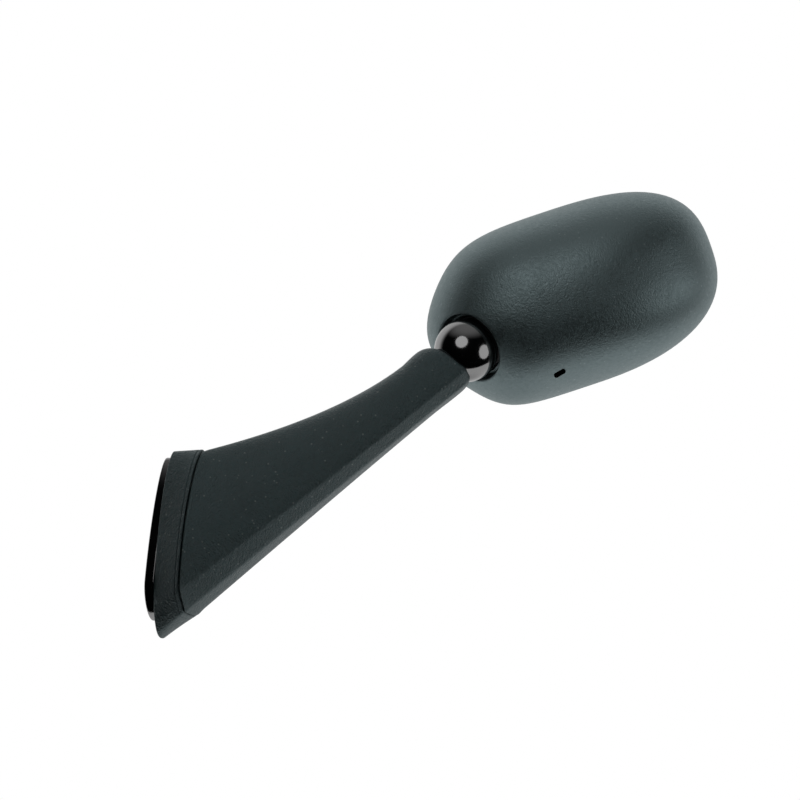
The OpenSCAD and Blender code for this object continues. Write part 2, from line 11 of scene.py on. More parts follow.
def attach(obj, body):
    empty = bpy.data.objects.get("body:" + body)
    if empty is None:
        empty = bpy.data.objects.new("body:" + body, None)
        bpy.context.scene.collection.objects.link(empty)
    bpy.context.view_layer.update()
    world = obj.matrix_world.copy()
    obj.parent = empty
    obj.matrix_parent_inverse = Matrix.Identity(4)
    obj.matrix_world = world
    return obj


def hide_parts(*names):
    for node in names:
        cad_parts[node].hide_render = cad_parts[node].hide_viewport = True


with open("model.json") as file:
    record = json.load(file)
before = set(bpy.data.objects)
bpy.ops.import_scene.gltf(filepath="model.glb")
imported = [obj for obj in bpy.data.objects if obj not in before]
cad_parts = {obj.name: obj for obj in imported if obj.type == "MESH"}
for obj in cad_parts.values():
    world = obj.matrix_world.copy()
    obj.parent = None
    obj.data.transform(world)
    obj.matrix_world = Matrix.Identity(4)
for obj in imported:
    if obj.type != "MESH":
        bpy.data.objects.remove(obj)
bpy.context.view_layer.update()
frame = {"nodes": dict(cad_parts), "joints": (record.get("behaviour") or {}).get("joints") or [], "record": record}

bl_info = {
    "name": "Fairing mirror",
    "version": (1, 0, 0),
    "blender": (4, 5, 0),
    "location": "View3D > Sidebar > Mirror",
    "description": "Dresses a fairing-mounted mirror with its housing, arm, ball joint, glass and finishes",
    "category": "Object",
}

MM = 0.001
FAR = 60                     # mm, past every piece that a cutter goes through
JOINTS = {j["name"]: j for j in frame["joints"]}
BALL_AT = np.array(JOINTS["mirror_pitch"]["pos_m"])
HEAD_ALONG = np.array(JOINTS["mirror_pitch"]["axis"])
HEAD_ACROSS = np.array(JOINTS["mirror_yaw"]["axis"])
HEAD_FRONT = np.cross(HEAD_ALONG, HEAD_ACROSS)
SLOTS = {part["node"]: part["material_slot"] for part in frame["record"]["subparts"]}
BODIES = {node: body for body, nodes in frame["record"]["behaviour"]["bodies"].items() for node in nodes}
GRAINED = ("base_casting", "arm_body", "arm_rear_cover")


def unit(v):
    v = np.asarray(v, float)
    return v / np.linalg.norm(v, axis=-1, keepdims=True)


def direction(rise, sweep):
    """A direction from its rise above level and its sweep back from the mounting axis, in degrees."""
    rise, sweep = math.radians(rise), math.radians(sweep)
    return np.array([math.cos(rise) * math.cos(sweep), math.cos(rise) * math.sin(sweep), math.sin(rise)])


# Settings


class MirrorSizes(PropertyGroup):
    """Sizes of the pieces, in metres."""

    half_length: FloatProperty(name="Half length", description="Half length of the housing", default=0.0895,
                               unit="LENGTH")
    half_height: FloatProperty(name="Half height", description="Half height of the housing", default=0.0525,
                               unit="LENGTH")
    crown: FloatProperty(name="Crown", description="Ball centre to the crown", default=0.021, unit="LENGTH")
    rim: FloatProperty(name="Rim", description="Ball centre to the glass rim", default=0.040, unit="LENGTH")
    wall: FloatProperty(name="Wall", description="Wall of the housing", default=0.0028, unit="LENGTH")
    ball: FloatProperty(name="Ball", description="Radius of the ball", default=0.0185, unit="LENGTH")
    drain: FloatProperty(name="Drain slot", description="Half width of the drain slot", default=0.0015, unit="LENGTH")
    pocket: FloatProperty(name="Pocket", description="Radius of the pocket round the ball", default=0.0212,
                          unit="LENGTH")
    glass_curve: FloatProperty(name="Glass curve", description="Curve radius of the glass", default=1.2, unit="LENGTH")


class MirrorColours(PropertyGroup):
    """Colours of the finishes."""

    shell: FloatVectorProperty(name="Housing", description="Satin black of the housing", subtype="COLOR",
                               default=(0.0042, 0.0098, 0.0106))
    arm: FloatVectorProperty(name="Arm", description="Grained black of the arm and base", subtype="COLOR",
                             default=(0.0026, 0.0095, 0.0102))
    gloss: FloatVectorProperty(name="Gloss", description="Gloss black of the ball and pad", subtype="COLOR",
                               default=(0.0030, 0.0034, 0.0036))
    zinc: FloatVectorProperty(name="Zinc", description="Plated steel of the fasteners", subtype="COLOR",
                              default=(0.56, 0.57, 0.58))


def sizes():
    return bpy.context.scene.mirror_sizes


def colours():
    return bpy.context.scene.mirror_colours


# Finishes


COOL = (0.76, 0.97, 1.0, 1.0)      # the faint blue-green of the black mouldings' shine
DUST = (0.11, 0.12, 0.12, 1.0)     # the pale specks in the black mouldings
FINE_GRAIN = 0.00001               # depth of turning marks and handling marks, in metres


class Socket:
    """A shader socket that can be used in plain arithmetic."""

    def __init__(self, nodes, output):
        self.nodes, self.output = nodes, output

    def _maths(self, operation, *values):
        return self.nodes.node("ShaderNodeMath", {"operation": operation}, *values)

    def __add__(self, other):
        return self._maths("ADD", self, other)

    def __sub__(self, other):
        return self._maths("SUBTRACT", self, other)

    def __rsub__(self, other):
        return self._maths("SUBTRACT", other, self)

    def __mul__(self, other):
        return self._maths("MULTIPLY", self, other)

    def or_more(self, other):
        return self._maths("MAXIMUM", self, other)

    def clamped(self, low, high):
        """0 up to low, 1 from high, and smooth between."""
        return self.nodes.node("ShaderNodeMapRange", {"interpolation_type": "SMOOTHSTEP"}, self, low, high, 0.0, 1.0)

    __radd__ = __add__
    __rmul__ = __mul__


class Nodes:
    """A node tree and the one method that adds to it."""

    def __init__(self, tree):
        self.tree = tree

    def node(self, kind, settings, *values, out=0, **named):
        """Adds a node, sets its settings, then its sockets by order or by name, and returns one output."""
        made = self.tree.nodes.new(kind)
        for key, value in settings.items():
            setattr(made, key, value)
        for key, value in [*enumerate(values), *named.items()]:
            self.plug(value, made.inputs[key])
        return Socket(self, made.outputs[out])

    def plug(self, value, socket):
        """Links a socket, or sets it to a value."""
        if isinstance(value, Socket):
            self.tree.links.new(value.output, socket)
        else:
            socket.default_value = value


class Finish(Nodes):
    """One material, built node by node."""

    def __init__(self, name):
        self.material = bpy.data.materials.new(name)
        self.material.use_nodes = True
        super().__init__(self.material.node_tree)
        self.shader = self.tree.nodes["Principled BSDF"]
        self.coords = self.node("ShaderNodeTexCoord", {}, out="Object")

    def set(self, **values):
        """Sets the surface's own sockets, such as base_color or roughness."""
        names = {"base_color": "Base Color", "roughness": "Roughness", "metallic": "Metallic", "normal": "Normal",
                 "ior": "IOR", "specular": "Specular IOR Level", "tint": "Specular Tint"}
        for key, value in values.items():
            self.plug(value, self.shader.inputs[names[key]])

    def noise(self, scale, detail=2.0, rough=0.5, at=None):
        return self.node("ShaderNodeTexNoise", {}, Vector=at or self.coords, Scale=scale, Detail=detail,
                         Roughness=rough)

    def cells(self, scale):
        """Distance to the nearest of many scattered points, in cells."""
        return self.node("ShaderNodeTexVoronoi", {}, Vector=self.coords, Scale=scale)

    def bump(self, height, distance, strength=1.0):
        return self.node("ShaderNodeBump", {}, Strength=strength, Distance=distance, Height=height)

    def mixed(self, low, high, mask):
        """A colour between two, by a mask."""
        return self.node("ShaderNodeMix", {"data_type": "RGBA"}, Factor=mask, A=low, B=high, out="Result")


def grown(colour, by):
    """A colour made lighter or darker, with full alpha."""
    return (*[min(1.0, c * by) for c in colour], 1.0)


def satin_plastic(name, colour, roughness, grain, specks, shine=0.5, tint=(1, 1, 1, 1)):
    """Moulded black plastic: a spark-eroded grain, its depth in metres, faint clouding, and pale and dark specks."""
    f = Finish(name)
    cloud = f.noise(26.0, 5.0, 0.6)
    fine = f.noise(1300.0, 3.0, 0.7)
    coarse = f.noise(520.0, 2.0, 0.6)
    pits = f.cells(950.0)
    pale = 1 - f.cells(230.0).clamped(0.07, 0.17)
    dark = 1 - f.cells(170.0).clamped(0.08, 0.13)
    tone = (cloud * 0.3 + fine * 0.2 + coarse * 0.5).clamped(0.36, 0.64)
    base = f.mixed(grown(colour, 0.3), grown(colour, 1.9), tone)
    base = f.mixed(base, DUST, pale * specks)
    base = f.mixed(base, grown(colour, 0.15), dark * specks)
    height = fine * 0.6 + coarse * 0.8 + pits * 0.5
    f.set(base_color=base, roughness=cloud * 0.1 + coarse * 0.3 + (roughness - 0.2), ior=2.0,
          normal=f.bump(height, grain), specular=shine, tint=tint)
    return f.material


def gloss_plastic(name, colour):
    """Polished black plastic with faint handling marks."""
    f = Finish(name)
    haze = f.noise(60.0, 5.0, 0.6).clamped(0.45, 0.8)
    drawn_out = f.node("ShaderNodeMapping", {}, f.coords, (0, 0, 0), (0.4, 0.7, 0.2), (1.0, 0.06, 1.0))
    scratch = f.noise(900.0, 2.0, at=drawn_out)
    f.set(base_color=grown(colour, 1.0), roughness=haze * 0.05 + 0.11, ior=1.95, specular=1.0,
          normal=f.bump(scratch, FINE_GRAIN, 0.12))
    return f.material


def plated_steel(name, colour):
    """Zinc-plated steel: a faint spangle and fine turning marks."""
    f = Finish(name)
    spangle = f.cells(420.0)
    cloud = f.noise(160.0, 3.0)
    base = f.mixed(grown(colour, 0.82), grown(colour, 1.1), (spangle * 0.6 + cloud * 0.6).clamped(0.2, 0.9))
    f.set(base_color=base, metallic=1.0, roughness=cloud * 0.18 + 0.21,
          normal=f.bump(f.noise(2600.0, 2.0), FINE_GRAIN, 0.35))
    return f.material


def spring_wire(name):
    """Oil-blackened spring wire, bare where it has rubbed."""
    f = Finish(name)
    rub = f.noise(240.0, 3.0).clamped(0.5, 0.72)
    f.set(base_color=f.mixed((0.055, 0.058, 0.062, 1), (0.30, 0.31, 0.32, 1), rub), metallic=1.0,
          roughness=0.52 - rub * 0.2, normal=f.bump(f.noise(1900.0), FINE_GRAIN, 0.4))
    return f.material


def natural_polymer(name):
    """Cream acetal of the pivot's bush and friction washer, slightly mottled."""
    f = Finish(name)
    mottle = f.noise(90.0, 4.0)
    f.set(base_color=f.mixed((0.50, 0.47, 0.38, 1), (0.66, 0.63, 0.54, 1), mottle.clamped(0.35, 0.7)),
          roughness=mottle * 0.1 + 0.42, normal=f.bump(f.noise(1400.0), FINE_GRAIN, 0.5))
    return f.material


def foam(name):
    """Closed-cell foam between the glass and its carrier."""
    f = Finish(name)
    cell = f.cells(1300.0)
    f.set(base_color=f.mixed((0.012, 0.012, 0.013, 1), (0.045, 0.045, 0.047, 1), cell.clamped(0.1, 0.6)),
          roughness=0.92, normal=f.bump(cell, 0.0002, 0.7))
    return f.material


def silvered_glass(name):
    """Convex mirror glass: a bright silvered back with the faintest blue, dust and a slight wave."""
    f = Finish(name)
    wave = f.noise(9.0, 2.0)
    dust = 1 - f.cells(260.0).clamped(0.03, 0.07)
    haze = f.noise(34.0, 5.0, 0.65).clamped(0.5, 0.85)
    f.set(base_color=f.mixed((0.82, 0.86, 0.88, 1), (0.70, 0.73, 0.74, 1), dust * 0.5), metallic=1.0,
          roughness=haze * 0.03 + dust * 0.25 + 0.012, normal=f.bump(wave, 0.00008, 0.1))
    return f.material


FINISHES = {}


def finish(slot):
    """The finish of one of the record's slots, made when it is first asked for."""
    if slot not in FINISHES:
        c = colours()
        makers = {
            "satin_black": lambda: satin_plastic("satin_black", tuple(c.shell), 0.50, 0.00018, 0.8, 1.0, COOL),
            "grained_black": lambda: satin_plastic("grained_black", tuple(c.arm), 0.48, 0.00050, 0.8, 0.42, COOL),
            "gloss_black": lambda: gloss_plastic("gloss_black", tuple(c.gloss)),
            "steel": lambda: plated_steel("steel", tuple(c.zinc)),
            "spring_steel": lambda: spring_wire("spring_steel"),
            "natural_polymer": lambda: natural_polymer("natural_polymer"),
            "black_polymer": lambda: satin_plastic("black_polymer", (0.006, 0.006, 0.0065), 0.6, 0.00002, 0.1),
            "carrier_plastic": lambda: satin_plastic("carrier_plastic", (0.03, 0.03, 0.032), 0.6, 0.00005, 0.2),
            "foam": lambda: foam("foam"),
            "mirror": lambda: silvered_glass("mirror"),
        }
        FINISHES[slot] = makers[slot]()
    return FINISHES[slot]


# Mesh helpers


def set_apart():
    """Leaves nothing selected."""
    bpy.ops.object.select_all(action="DESELECT")


def take(piece):
    """Makes a piece the only selected and the active one."""
    set_apart()
    piece.select_set(True)
    bpy.context.view_layer.objects.active = piece


def from_points(name, points, edges, faces):
    mesh = bpy.data.meshes.new(name)
    mesh.from_pydata(np.asarray(points, float).reshape(-1, 3).tolist(), edges, faces)
    mesh.validate()
    piece = bpy.data.objects.new(name, mesh)
    bpy.context.scene.collection.objects.link(piece)
    return piece


def from_grid(name, grid, cap_ends=False):
    """A piece from rings of points: capped at both ends, or with its last ring joined to its first."""
    rings, count = grid.shape[:2]
    i, j = np.meshgrid(np.arange(rings - 1 if cap_ends else rings), np.arange(count), indexing="ij")
    k, n = (j + 1) % count, (i + 1) % rings
    faces = np.stack([i * count + j, i * count + k, n * count + k, n * count + j], -1).reshape(-1, 4).tolist()
    if cap_ends:
        faces.append(list(range(count))[::-1])
        faces.append([(rings - 1) * count + m for m in range(count)])
    piece = from_points(name, grid, [], faces)
    right_side_out(piece)
    return piece


def right_side_out(piece):
    """Merges what meets and turns the faces of a closed piece outwards."""
    take(piece)
    bpy.ops.object.mode_set(mode="EDIT")
    bpy.ops.mesh.select_all(action="SELECT")
    bpy.ops.mesh.remove_doubles(threshold=0.000001)
    bpy.ops.mesh.normals_make_consistent(inside=False)
    bpy.ops.object.mode_set(mode="OBJECT")


def turned(name, profile, steps=72):
    """A lathe piece: a profile of (along, radius), in mm, spun once round the X axis; one off the axis is a ring."""
    count = len(profile)
    points = [(x * MM, r * MM, 0) for x, r in profile]
    edges = [(i, (i + 1) % count) for i in range(count)]
    if profile[0][1] == profile[-1][1] == 0:
        edges.pop()
    piece = from_points(name, points, edges, [])
    take(piece)
    bpy.ops.object.mode_set(mode="EDIT")
    bpy.ops.mesh.select_all(action="SELECT")
    bpy.ops.mesh.spin(steps=steps, angle=2 * math.pi, center=(0, 0, 0), axis=(1, 0, 0))
    bpy.ops.object.mode_set(mode="OBJECT")
    right_side_out(piece)
    return piece


def rod(radius, start, end, sides=64):
    """A plain round bar along X, in mm, for cutting with."""
    set_apart()
    bpy.ops.mesh.primitive_cylinder_add(vertices=sides, radius=radius * MM, depth=(end - start) * MM)
    piece = bpy.context.object
    piece.data.transform(Matrix.Translation(((start + end) / 2 * MM, 0, 0)) @ Matrix.Rotation(math.pi / 2, 4, "Y"))
    return piece


def moved(piece, x=0.0, z=0.0):
    """Moves a piece's mesh, in mm."""
    piece.data.transform(Matrix.Translation((x * MM, 0, z * MM)))
    return piece


def placed(piece, at, along):
    """Turns a piece's X axis to a direction and carries it to a place, in its mesh."""
    turn = Vector(list(along)).to_track_quat("X", "Z").to_matrix().to_4x4()
    piece.data.transform(Matrix.Translation(list(at)) @ turn)
    return piece


def block(low, high):
    """A box between two corners, in mm, for cutting with."""
    set_apart()
    bpy.ops.mesh.primitive_cube_add(size=1)
    piece = bpy.context.object
    low, high = np.array(low) * MM, np.array(high) * MM
    piece.data.transform(Matrix.Translation(((low + high) / 2).tolist()) @ Matrix.Diagonal((*(high - low), 1)))
    return piece


def dress(piece, node):
    """Gives a piece the finish of a node."""
    piece.data.materials.clear()
    piece.data.materials.append(finish("grained_black" if node in GRAINED else SLOTS[node]))


def settle(piece, node, angle=35.0):
    """Gives a finished piece its shading, and the finish and body of the node that it stands for."""
    take(piece)
    bpy.ops.object.shade_smooth_by_angle(angle=math.radians(angle))
    dress(piece, node)
    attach(piece, BODIES[node])
    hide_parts(node)


def joined(piece, tool, operation):
    """Cuts a closed mesh from another, adds it or keeps what both share; the tool is used up."""
    step = piece.modifiers.new("step", "BOOLEAN")
    step.operation, step.object, step.solver = operation, tool, "EXACT"
    take(piece)
    bpy.ops.object.modifier_apply(modifier=step.name)
    bpy.data.objects.remove(tool)


def carve(piece, *cutters):
    """Cuts each cutter from a piece."""
    for cutter in cutters:
        joined(piece, cutter, "DIFFERENCE")
    return piece


def lerp(a, b, t):
    return a + (b - a) * t


def turned_towards(a, b, share):
    """Directions part of the way from a to b along the great circle, for arrays of directions."""
    a, b = unit(a), unit(b)
    angle = np.arccos(np.clip((a * b).sum(-1, keepdims=True), -1, 1))
    side = unit(b - a * (a * b).sum(-1, keepdims=True) + 1e-12)
    return a * np.cos(angle * share) + side * np.sin(angle * share)


def squared(turn, n):
    """Reach of a rounded outline of half width 1: n of 2 is a circle, and more is squarer."""
    return (np.abs(np.cos(turn)) ** n + np.abs(np.sin(turn)) ** n) ** (-1 / n)


def flattened(reach, turn, at, distance, blend):
    """The same reach with one side flattened, at an angle in degrees and a distance."""
    flat = np.maximum(0, np.cos(turn - math.radians(at))) / distance
    return (reach**-blend + flat**blend) ** (-1 / blend)


def round_turn(count):
    """Angles that go once round."""
    return np.arange(count) * 2 * math.pi / count


QUARTER = [math.pi / 2 * k / 4 for k in range(5)]     # the steps of a rolled edge


# Housing


HEAD_MID = np.array([66.4, 10.1]) * MM
CROWN_SHIFT = np.array([-6.0, -2.0]) * MM
BOWL = 2.3                   # squareness of the housing's depth, as for squared
CORNERS = np.array([2.85, 2.9, 4.9, 2.41])
END_FLATS, END_BLEND = (153.7, 206.4), 10
LIP, LEDGE, ROLL_R = 0.0024, 0.003, 0.0007
CARRIER_FACE = -0.03126
SKIN_IN = 0.00006            # the smooth skin lies this far inside the faceted one's corners
STUD = direction(28, 62)
STUD_BORE = 3.05             # mm, by radius
NECK_RISE, NECK_SWEEP = 36, 43.5
NECK = direction(NECK_RISE, NECK_SWEEP)
SWING = 12                   # how far the ball joint turns each way, in degrees
POCKET_SEAT = 0.0201         # inner radius of the socket dome
DOME = 0.0231                # outer radius of the socket dome
DOME_HOLE = 30.0             # half angle of the stud's hole in the dome, in degrees
MOUTH_ROUND = 0.0011         # how far the pocket's rounded mouth stands outside it
WIDE_POCKET = 0.30           # where the wide part of the pocket ends, as a share of the way to the stud's hole


def outline_reach(turn):
    """Reach of the housing's outline of half width 1, with its own squareness for each corner."""
    reach = squared(turn, CORNERS[np.floor(turn / (math.pi / 2)).astype(int) % 4])
    for at in END_FLATS:
        reach = flattened(reach, turn, at, 1.0, END_BLEND)
    return reach


def head_point(u, v, inset=0.0):
    """A point of the housing's skin in head axes, by its place on a disc with the crown in the middle."""
    s = sizes()
    inset = inset + SKIN_IN
    turn = np.arctan2(v, u)
    a = np.clip(np.hypot(u, v), 0, 1) * math.pi / 2
    shrink = np.sin(a) ** (2 / BOWL)
    rise = np.clip(np.cos(a), 0, 1) ** (2 / BOWL)
    reach = outline_reach(turn)
    x = HEAD_MID[0] + CROWN_SHIFT[0] * (1 - shrink) + (s.half_length - inset) * reach * np.cos(turn) * shrink
    y = HEAD_MID[1] + CROWN_SHIFT[1] * (1 - shrink) + (s.half_height - inset) * reach * np.sin(turn) * shrink
    z = -s.rim + (s.crown - inset + s.rim) * rise
    return np.stack([x, y, z], -1)


def head_to_world(p):
    return BALL_AT + p[..., :1] * HEAD_ALONG + p[..., 1:2] * HEAD_ACROSS + p[..., 2:3] * HEAD_FRONT


def head_matrix():
    """From head axes to the row frame."""
    m = np.eye(4)
    m[:3, 0], m[:3, 1], m[:3, 2], m[:3, 3] = HEAD_ALONG, HEAD_ACROSS, HEAD_FRONT, BALL_AT
    return Matrix(m.tolist())


def nearest_disc_place():
    """The place on the disc of the skin's point nearest to the ball centre."""
    u, v = np.meshgrid(np.linspace(-0.95, 0.2, 400), np.linspace(-0.6, 0.6, 400))
    i = np.argmin((head_point(u, v) ** 2).sum(-1))
    return u.flat[i], v.flat[i]


def disc_radius(height):
    """How far from the disc's middle the skin stands at a height over the rim."""
    s = sizes()
    return math.acos((height / (s.crown + s.rim)) ** (BOWL / 2)) / (math.pi / 2)


def housing_grid(columns=192):
    """Rings of the whole shell: up the pocket, over the skin, round the glass rim and back along the inside."""
    s = sizes()
    cu, cv = nearest_disc_place()
    du, dv = np.cos(round_turn(columns)), np.sin(round_turn(columns))
    b = cu * du + cv * dv

    def reach_to(radius):
        """How far each column runs over the disc before it is a radius away from the middle."""
        return -b + np.sqrt(b * b - (cu * cu + cv * cv - radius**2))

    edge = reach_to(disc_radius(ROLL_R))
    inner_edge = reach_to(disc_radius(s.rim + CARRIER_FACE + 0.003))
    # each column leaves the pocket at its rounded mouth
    mouth = s.pocket + MOUTH_ROUND
    low, start = np.zeros(columns), edge.copy()
    for _ in range(40):
        mid = (low + start) / 2
        inside = (head_point(cu + du * mid, cv + dv * mid) ** 2).sum(-1) < mouth**2
        low, start = np.where(inside, mid, low), np.where(inside, start, mid)

    def out(t, to, inset=0.0):
        """A ring part of the way from the pocket's mouth to the columns' ends."""
        way = start + (to - start) * t
        return head_point(cu + du * way, cv + dv * way, inset)

    first = out(0.0, edge)
    rim_way = unit(first)
    stud = np.array([STUD @ HEAD_ALONG, STUD @ HEAD_ACROSS, STUD @ HEAD_FRONT])
    to_rim = np.arccos(np.clip((rim_way * stud).sum(-1, keepdims=True), -1, 1))
    hole_way = turned_towards(np.broadcast_to(stud, rim_way.shape), rim_way, np.radians(DOME_HOLE) / to_rim)
    rings = [POCKET_SEAT * turned_towards(rim_way, hole_way, t) for t in np.linspace(1, WIDE_POCKET + 0.02, 8)]
    rings += [s.pocket * turned_towards(rim_way, hole_way, t) for t in np.linspace(WIDE_POCKET, 0.06, 7)]
    corner = rings[-1]
    for t in (0.2, 0.4, 0.6, 0.8):
        rings.append((1 - t) ** 2 * corner + 2 * t * (1 - t) * (s.pocket * rim_way * 1.003) + t**2 * first)
    rings += [out(t, edge) for t in np.linspace(0, 1, 72) ** 1.15]

    turn = np.arctan2(cv + dv * edge, cu + du * edge)

    def rim(inset, height):
        """A level ring round the glass rim."""
        p = head_point(np.cos(turn), np.sin(turn), inset)
        p[:, 2] = height
        return p

    rings += [rim(ROLL_R * (1 - math.cos(f)), -s.rim + ROLL_R * (1 - math.sin(f))) for f in QUARTER[1:]]
    rings += [rim(LIP - ROLL_R * (1 - math.sin(f)), -s.rim + ROLL_R * (1 - math.cos(f))) for f in QUARTER[:]]
    rings += [rim(LIP, CARRIER_FACE), rim(LIP + LEDGE, CARRIER_FACE), rim(LIP + LEDGE, CARRIER_FACE + 0.002)]
    # the inside is the skin set in by the wall, and held off the socket dome
    for t in np.linspace(1, 0, 28):
        inner = out(t, inner_edge, s.wall)
        reach = np.linalg.norm(inner, axis=-1, keepdims=True)
        rings.append(np.where(reach < DOME, inner / reach * DOME, inner))
    last = unit(rings[-1])
    rings += [DOME * turned_towards(last, hole_way, t) for t in np.linspace(0.1, 1.0, 9)]
    return np.stack(rings)


class MIRROR_OT_housing(Operator):
    """The egg-shaped housing with its pocket, rolled rim and drain slot"""

    bl_idname = "mirror.housing"
    bl_label = "Housing"

    def execute(self, context):
        piece = from_grid("housing", head_to_world(housing_grid()))
        carve(piece, drain_cutter(), neck_room())
        settle(piece, "head_shell", angle=30)
        return {"FINISHED"}


def drain_cutter():
    """A bar with round ends that cuts the drain slot through the lower front of the housing."""
    sides, half_straight, at, lean = 34, 0.0022, (0.0468, -0.0297, 0.005), 12
    set_apart()
    bpy.ops.mesh.primitive_cylinder_add(vertices=sides, radius=sizes().drain, depth=0.05)
    cutter = bpy.context.object
    cutter.data.transform(Matrix.Rotation(math.radians(180 / sides), 4, "Z"))
    for v in cutter.data.vertices:
        v.co.x += math.copysign(half_straight, v.co.x)
    place = Matrix.Translation(at) @ Matrix.Rotation(math.radians(lean), 4, "Z")
    cutter.data.transform(head_matrix() @ place)
    return cutter


def neck_room():
    """The cone that the neck swings in, below the ball."""
    spread, neck_r, middle = math.tan(math.radians(SWING)), 0.0165, 0.025
    set_apart()
    bpy.ops.mesh.primitive_cone_add(vertices=96, radius1=neck_r + 0.044 * spread, radius2=neck_r + 0.002 * spread,
                                    depth=0.042)
    cutter = bpy.context.object
    aim = Vector(NECK.tolist()).to_track_quat("Z", "Y").to_matrix().to_4x4()
    cutter.data.transform(Matrix.Translation((BALL_AT - middle * NECK).tolist()) @ aim)
    return cutter


class MIRROR_OT_glass(Operator):
    """The convex glass with its ground edge"""

    bl_idname = "mirror.glass"
    bl_label = "Glass"

    def execute(self, context):
        s = sizes()
        turn = round_turn(192)
        ue, ve = np.cos(turn), np.sin(turn)
        inset, thick, ground = LIP + 0.0005, 0.0022, 0.0004     # the gap to the lip is half a millimetre

        def ring(share, z, extra=0.0):
            """A ring of the pane, part of the way from its middle to its edge."""
            p = HEAD_MID + (head_point(ue, ve, inset + extra)[..., :2] - HEAD_MID) * share
            sag = s.glass_curve - np.sqrt(s.glass_curve**2 - ((p - HEAD_MID) ** 2).sum(-1))
            return np.stack([p[:, 0], p[:, 1], z + sag], -1)

        front = -s.rim + 0.0004
        shares = np.linspace(0.02, 1, 26)
        rings = [ring(t, front, ground) for t in shares]
        rings += [ring(1, front + ground), ring(1, front + thick - ground)]
        rings += [ring(t, front + thick, ground) for t in shares[::-1]]
        piece = from_grid("mirror_glass_pane", head_to_world(np.stack(rings)), cap_ends=True)
        settle(piece, "mirror_glass", angle=30)
        return {"FINISHED"}


# Base and arm


REAR = np.array([0.0, 1.0, 0.0])
FOOT_HALF, NECK_HALF = 0.017, 0.0136
FOOT_SHARE, FOOT_SHAPE, NECK_SHAPE = 0.36, np.array([3.4, 1.8]), np.array([3.2, 2.3])
KEEL_TURN, KEEL_REACH, KEEL_BLEND = 212, 1.05, 110
SEAM_LOW, SEAM_HIGH = np.array([0, -8, -37.8]) * MM, np.array([0, 10, 54]) * MM
EDGE_LOW, EDGE_HIGH = np.array([0, -7, -52.5]) * MM, np.array([0, 8.5, 54]) * MM
PAD_LOW, PAD_HIGH = np.array([0, -7, -42]) * MM, np.array([0, 10.5, 50]) * MM
PROUD = 0.0008               # how far the base stands outside the arm's foot
PROUD_STEP = np.array([0, 0, 1.1]) * MM
PAD_T, BASE_H, SEAM_GAP, BASE_FLOOR, BASE_WALL = 6.0, 18.0, 0.8, 5.0, 0.003
BASE_IN = 0.35               # mm, keeps the smooth base inside the faceted one's box
SEAM_X = PAD_T + BASE_H
FOOT_X = SEAM_X + SEAM_GAP
SCREW_Z = (-19.0, 19.0)
# bosses and bores by radius, in mm
SLEEVE_BORE, SLEEVE_BOSS, SLEEVE_LENGTH = 3.95, 5.9, 17
SLEEVE_HEAD, SLEEVE_HEAD_LENGTH = 4.55, 6.95
PIVOT_BOSS, SPRING_WELL, BUSH_BORE, BOLT_BORE = 13.2, 11.2, 6.05, 4.05
PAD_HOLE = 9.28
NECK_ROLL = math.radians(22)


def neck_axes():
    """The neck's upward and rearward directions."""
    rise, sweep = math.radians(NECK_RISE), math.radians(NECK_SWEEP)
    down = np.array([math.sin(rise) * math.cos(sweep), math.sin(rise) * math.sin(sweep), -math.cos(rise)])
    side = np.array([-math.sin(sweep), math.cos(sweep), 0])
    return (-math.cos(NECK_ROLL) * down + math.sin(NECK_ROLL) * side,
            math.cos(NECK_ROLL) * side + math.sin(NECK_ROLL) * down)


NECK_UP, NECK_REAR = neck_axes()
# upper and lower edge's distance below the ball, upper and lower half width, in mm, and the thickness as a share
STATIONS = np.array([[36, 36, 15, 17.2, 1], [31, 30.5, 15.6, 17.2, 1], [27, 25.5, 16, 17.2, 1],
                     [22.5, 20, 15.9, 17.1, 1], [18.8, 15, 14.6, 16.8, 1], [16.4, 11.4, 12.5, 15.9, 1],
                     [15.6, 10, 10.5, 14.8, 0.95]])
FOOT_LOW, FOOT_HIGH = np.array([FOOT_X, 0, 0]) * MM + SEAM_LOW, np.array([FOOT_X, 0, 0]) * MM + SEAM_HIGH
WAIST = BALL_AT - STATIONS[0, 0] * MM * NECK
WAIST_LOW = WAIST - STATIONS[0, 3] * MM * NECK_UP
WAIST_HIGH = WAIST + STATIONS[0, 2] * MM * NECK_UP
BEND = direction(13.5, 42)


def section(low, high, rear, half, share, shape, turn, inset=0.0):
    """Points of a section, at turns from its highest point towards the rear; every value may be one a point."""
    span = high - low
    width = np.linalg.norm(span, axis=-1)
    up = unit(span)
    back = unit(rear - (rear * up).sum(-1, keepdims=True) * up)
    c, s = np.cos(turn), np.sin(turn)
    upper = c >= 0
    n = np.where(upper, shape[..., 1], shape[..., 0])
    reach = np.where(upper, width * (1 - share), width * share) - inset
    r = flattened(squared(turn, n), turn, KEEL_TURN, KEEL_REACH, KEEL_BLEND)
    return low + up * (width * share + r * c * reach)[:, None] + back * (r * s * (half - inset))[:, None]


def seam_ring(turn, inset):
    """The base's outline at the seam."""
    at = np.array([SEAM_X * MM, 0, 0])
    return section(at + SEAM_LOW - PROUD_STEP, at + SEAM_HIGH + PROUD_STEP, REAR, FOOT_HALF + PROUD, FOOT_SHARE,
                   FOOT_SHAPE, turn, inset)


def edge_ring(turn, inset, x=PAD_T):
    """The base's outline at its fitting edge."""
    at = np.array([x * MM, 0, 0])
    return section(at + EDGE_LOW, at + EDGE_HIGH, REAR, FOOT_HALF - 0.003, FOOT_SHARE, np.array([2.3, 1.9]), turn,
                   inset)


def pad_ring(turn, x, inset):
    """The pad's outline."""
    at = np.array([x * MM, 0, 0])
    return section(at + PAD_LOW, at + PAD_HIGH, REAR, FOOT_HALF - 0.0036, 0.22, np.array([1.7, 1.8]), turn, inset)


